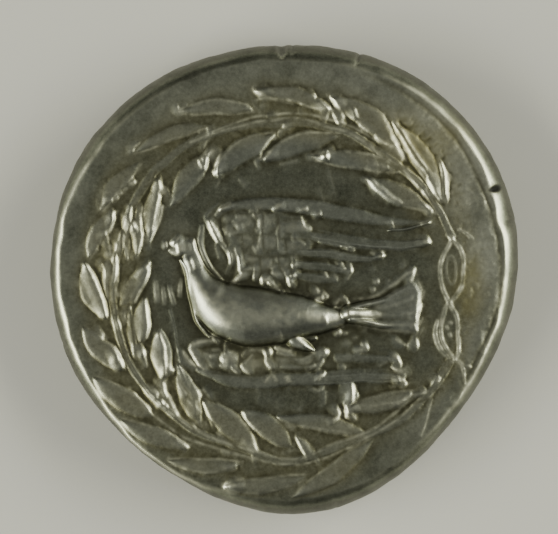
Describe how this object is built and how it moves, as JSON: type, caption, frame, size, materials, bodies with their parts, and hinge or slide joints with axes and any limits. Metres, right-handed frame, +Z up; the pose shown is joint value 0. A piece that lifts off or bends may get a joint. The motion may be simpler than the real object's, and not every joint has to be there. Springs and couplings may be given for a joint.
{
  "type": "stater",
  "caption": "Thick struck silver coin with a flying dove in an olive wreath on its upper face and a worn striding beast underneath, lying flat.",
  "frame": {"origin": "on the table under the middle of the coin's outline", "axes": "+Z up out of the dove face, +Y towards the top of the design, +X towards the tie of the wreath; the dove flies to -X"},
  "size_m": [0.0238, 0.0238, 0.004],
  "materials": {
    "silver": "worn toned silver, dark olive grey in the fields, brown in the recesses, bright on worn slopes"
  },
  "bodies": {
    "root": {"coin": "silver"}
  },
  "joints": []
}
